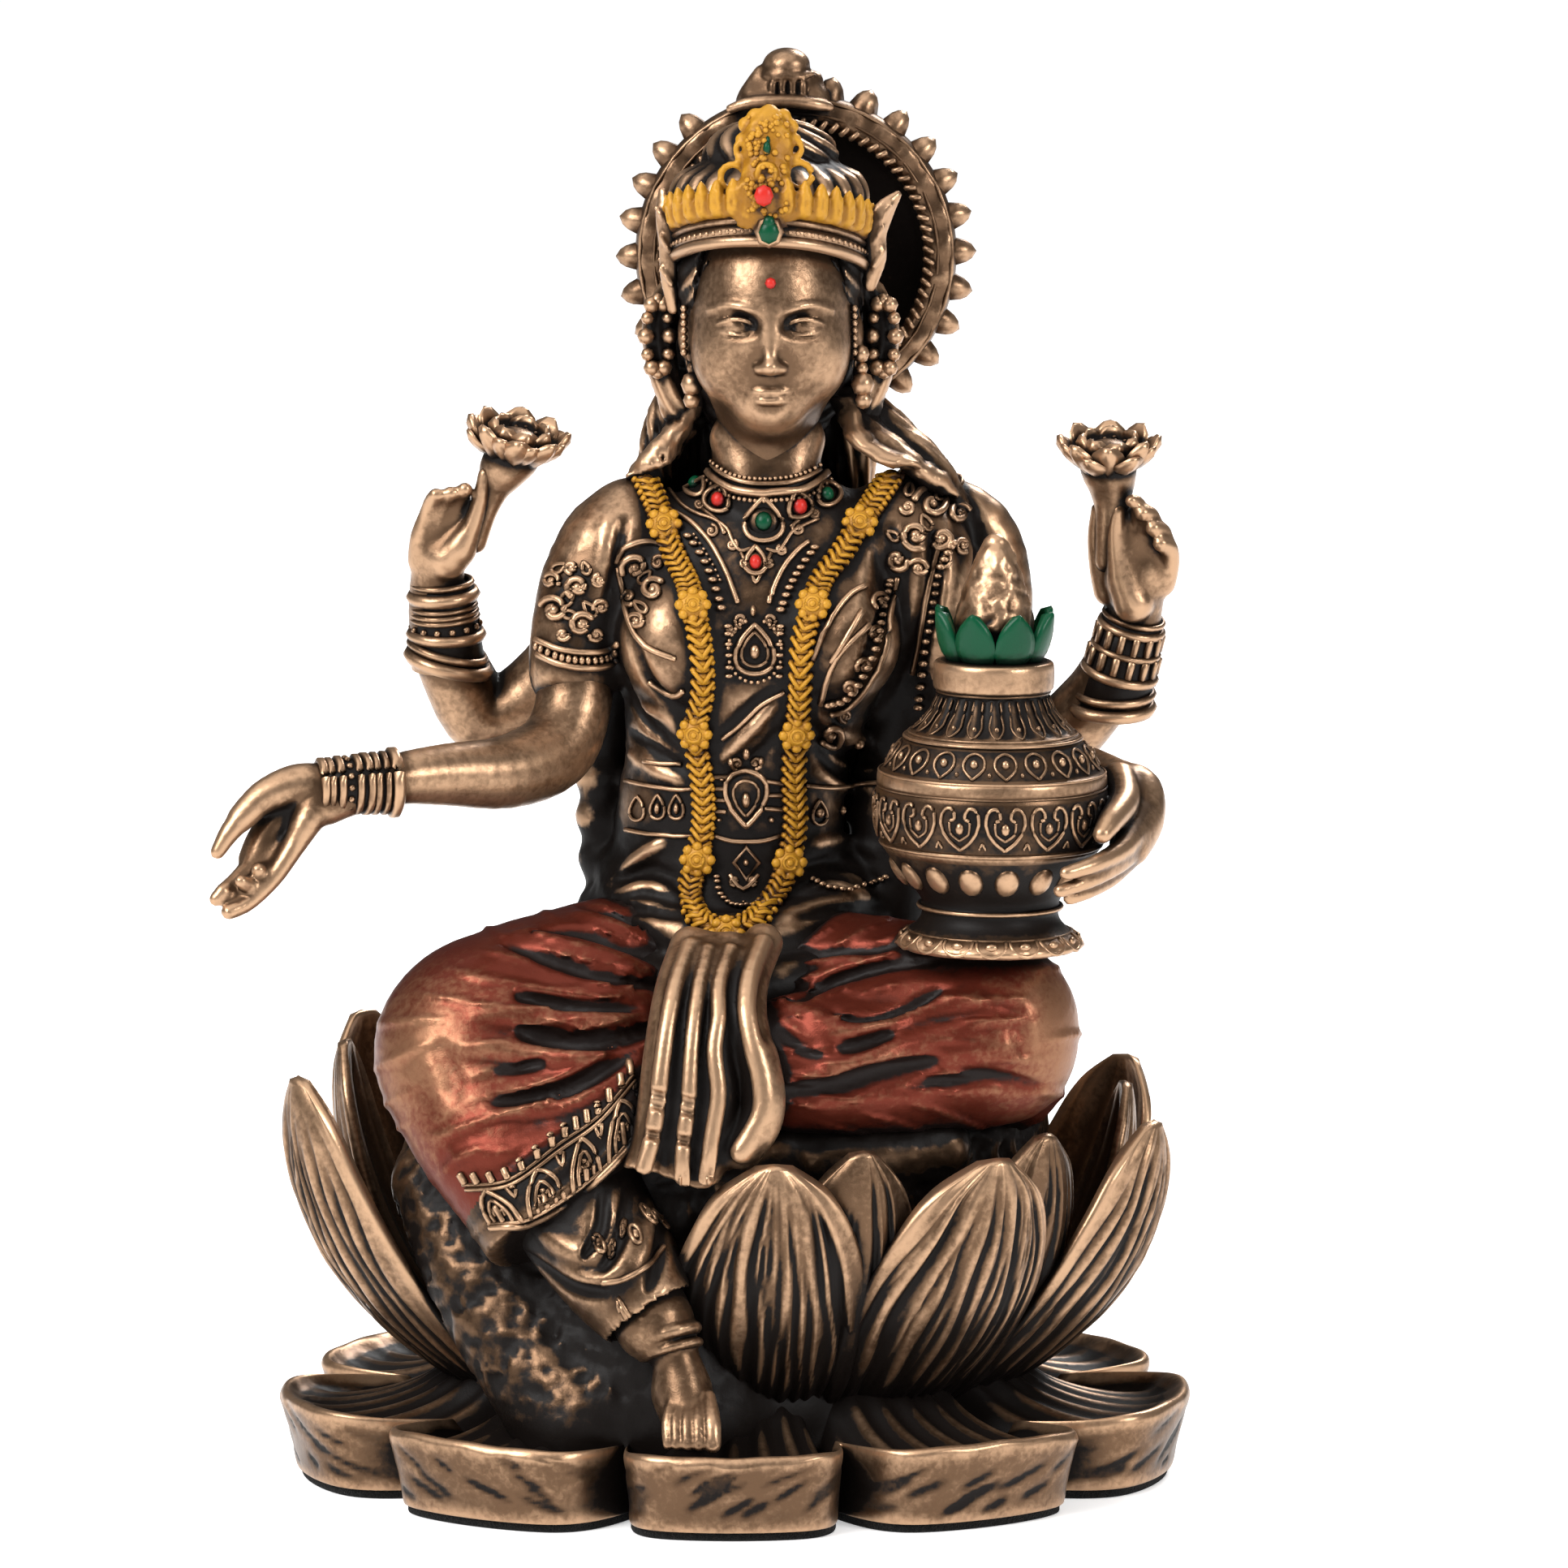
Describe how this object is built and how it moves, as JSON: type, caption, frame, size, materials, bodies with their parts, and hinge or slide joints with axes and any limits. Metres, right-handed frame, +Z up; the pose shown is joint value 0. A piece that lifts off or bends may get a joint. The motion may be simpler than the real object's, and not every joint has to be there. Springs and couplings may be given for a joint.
{
  "type": "lakshmi figure",
  "caption": "Small cold-cast bronze resin goddess seated on a lotus throne, with halo, lotus flowers and pot, on a felt pad.",
  "frame": {"origin": "middle of the felt pad's underside, on the surface the figure stands on", "axes": "+Z up through the halo's bud, -Y the way the goddess faces, +X to her left"},
  "size_m": [0.0606, 0.0494, 0.09],
  "materials": {
    "cast_bronze_resin": "cold-cast bronze resin, bright where rubbed and nearly black in the hollows, with gold, copper red, green and red paint",
    "black_felt": "short black felt"
  },
  "bodies": {
    "root": {"figure_on_lotus": "cast_bronze_resin", "felt_pad": "black_felt"}
  },
  "joints": []
}
